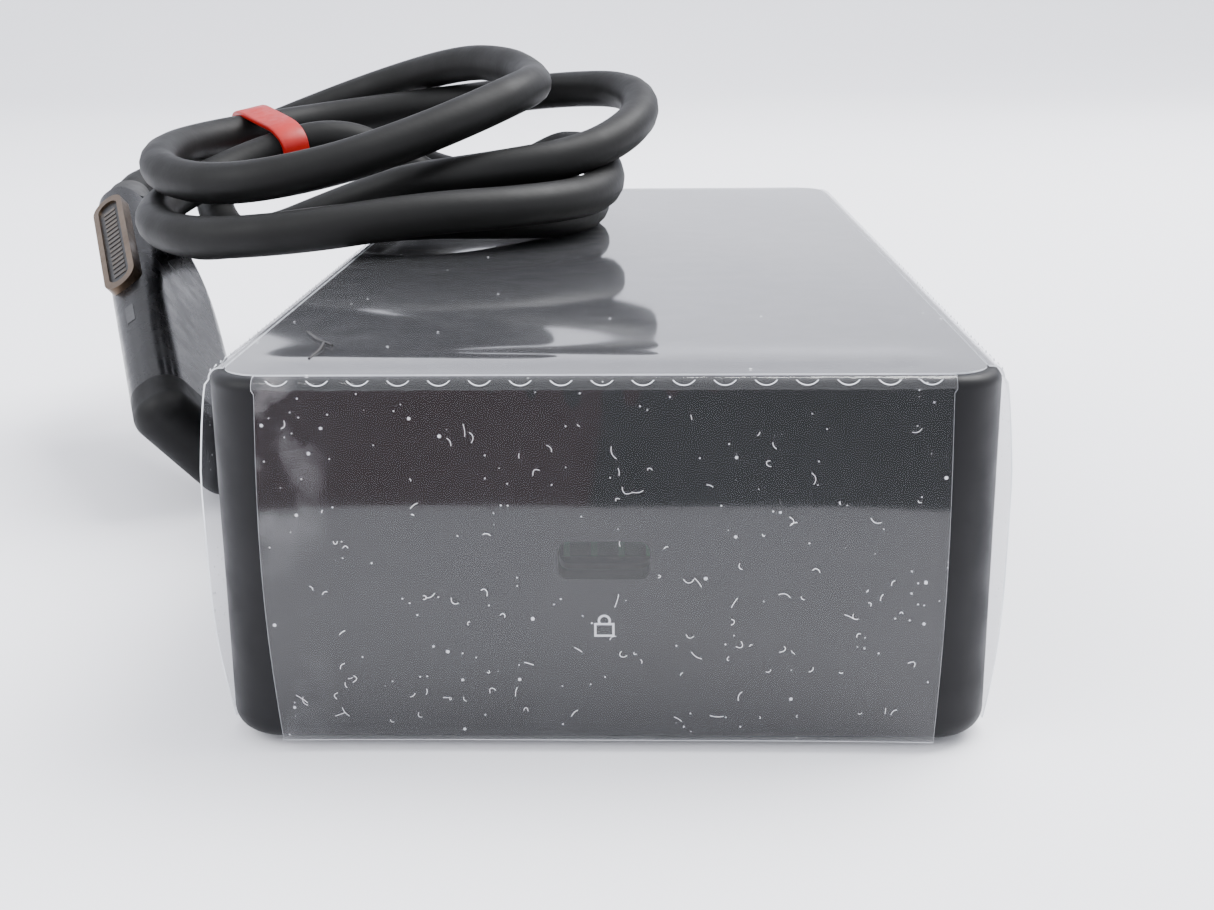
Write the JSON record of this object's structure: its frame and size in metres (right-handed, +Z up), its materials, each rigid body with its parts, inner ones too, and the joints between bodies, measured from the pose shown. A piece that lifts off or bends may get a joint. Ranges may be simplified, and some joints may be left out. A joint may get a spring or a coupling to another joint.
{
  "type": "laptop docking station",
  "caption": "Flat rectangular docking station on a rubber pad, sockets in both long sides, a lock slot in one end, and a captive cord coiled on top with a magnetic plug.",
  "frame": {"origin": "centre of the brick's footprint, on the surface it stands on", "axes": "+Z up; +Y along the brick towards the end where the cord leaves; -Y is the end with the lock slot; +X towards the rear row of sockets, -X towards the two front sockets"},
  "size_m": [0.1024, 0.1807, 0.0514],
  "materials": {
    "housing": "fine moulded grain",
    "base_plastic": "fine moulded grain",
    "pad_rubber": "matte",
    "screw_steel": "zinc plated",
    "lock_steel": "satin",
    "ballast_steel": "plain rolled",
    "spreader_aluminium": "cast",
    "circuit_board": "solder mask",
    "chip_epoxy": "moulded epoxy",
    "thermal_pad": "soft silicone",
    "inductor_ferrite": "pressed ferrite",
    "capacitor_can": "drawn can",
    "transformer_epoxy": "moulded",
    "socket_steel": "tin plated",
    "socket_plastic": "moulded",
    "contact_gold": "gold plated",
    "lamp_plastic": "clear amber-green",
    "gland_rubber": "matte",
    "cord_jacket": "soft matte",
    "ferrule_steel": "zinc plated",
    "header_plastic": "moulded nylon",
    "wire_insulation": "extruded",
    "tie_rubber": "smooth",
    "clear_film": "glossy clear film",
    "plug_plastic": "fine moulded grain",
    "cap_plastic": "moulded",
    "blade_metal": "nickel plated",
    "magnet_nickel": "nickel plated",
    "lamp_lens": "milky"
  },
  "bodies": {
    "root": {"audio_socket_body": "socket_plastic", "audio_socket_tails": "socket_steel", "ballast_plate": "ballast_steel", "base_pad": "pad_rubber", "base_plate": "base_plastic", "base_screws": "screw_steel", "board_screws": "screw_steel", "capacitors": "capacitor_can", "cord_coil": "cord_jacket", "cord_ferrule": "ferrule_steel", "cord_gland": "gland_rubber", "cord_header": "header_plastic", "cord_lead": "cord_jacket", "cord_tail": "cord_jacket", "cord_tie": "tie_rubber", "cord_wires": "wire_insulation", "display_chip": "chip_epoxy", "display_chip_pad": "thermal_pad", "ethernet_chip": "chip_epoxy", "ethernet_socket_body": "socket_plastic", "ethernet_socket_lamps": "lamp_plastic", "ethernet_socket_shield": "socket_steel", "ethernet_socket_wires": "contact_gold", "ethernet_transformer": "transformer_epoxy", "front_usb_c_1_shell": "socket_steel", "front_usb_c_1_tongue": "socket_plastic", "front_usb_c_2_shell": "socket_steel", "front_usb_c_2_tongue": "socket_plastic", "heat_spreader": "spreader_aluminium", "inductors": "inductor_ferrite", "inner_cord": "cord_jacket", "lock_plate": "lock_steel", "main_board": "circuit_board", "plug_blade": "blade_metal", "plug_blade_insert": "socket_plastic", "plug_board": "circuit_board", "plug_contacts": "contact_gold", "plug_housing": "plug_plastic", "plug_lamp": "lamp_lens", "plug_magnets": "magnet_nickel", "plug_neck": "gland_rubber", "plug_nose_cap": "cap_plastic", "power_chip": "chip_epoxy", "power_chip_pad": "thermal_pad", "power_socket_body": "socket_plastic", "power_socket_pin": "contact_gold", "protective_film": "clear_film", "rear_usb_c_1_shell": "socket_steel", "rear_usb_c_1_tongue": "socket_plastic", "rear_usb_c_2_shell": "socket_steel", "rear_usb_c_2_tongue": "socket_plastic", "top_shell": "housing", "usb_a_1_shell": "socket_steel", "usb_a_1_tongue": "socket_plastic", "usb_a_2_shell": "socket_steel", "usb_a_2_tongue": "socket_plastic", "usb_a_contacts": "contact_gold", "usb_c_contacts": "contact_gold", "usb_hub_chip": "chip_epoxy", "usb_hub_chip_pad": "thermal_pad"}
  },
  "joints": []
}
